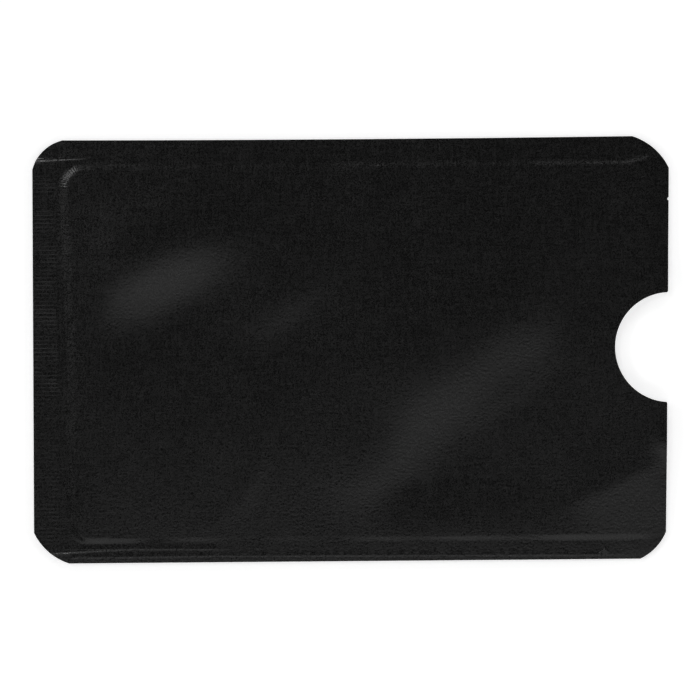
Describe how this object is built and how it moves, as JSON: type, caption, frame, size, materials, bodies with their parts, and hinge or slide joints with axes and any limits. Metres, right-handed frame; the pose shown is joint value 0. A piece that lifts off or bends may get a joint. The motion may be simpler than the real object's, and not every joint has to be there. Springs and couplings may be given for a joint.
{
  "type": "foil card sleeve",
  "caption": "Thin flat laminated foil sleeve for a bank card, heat-sealed along its closed end and both sides, with an open mouth and a round thumb notch.",
  "frame": {"origin": "middle of the sleeve's box in plan, on the surface that it lies on", "axes": "+X along the sleeve's length and out of the open mouth, +Y across it, +Z out of the front panel"},
  "size_m": [0.093, 0.0616, 0.0011],
  "materials": {
    "outer_film": "satin black film with a fine grain",
    "foil": "bare bright foil, seen only at the cut edges",
    "sealant_film": "milky clear sealant film over the foil",
    "weld": "fused sealant, seen only at the cut edges"
  },
  "bodies": {
    "root": {"front_outer_film": "outer_film", "front_foil": "foil", "front_inner_film": "sealant_film", "back_inner_film": "sealant_film", "back_foil": "foil", "back_outer_film": "outer_film", "closed_end_seal": "weld", "top_side_seal": "weld", "bottom_side_seal": "weld"}
  },
  "joints": []
}
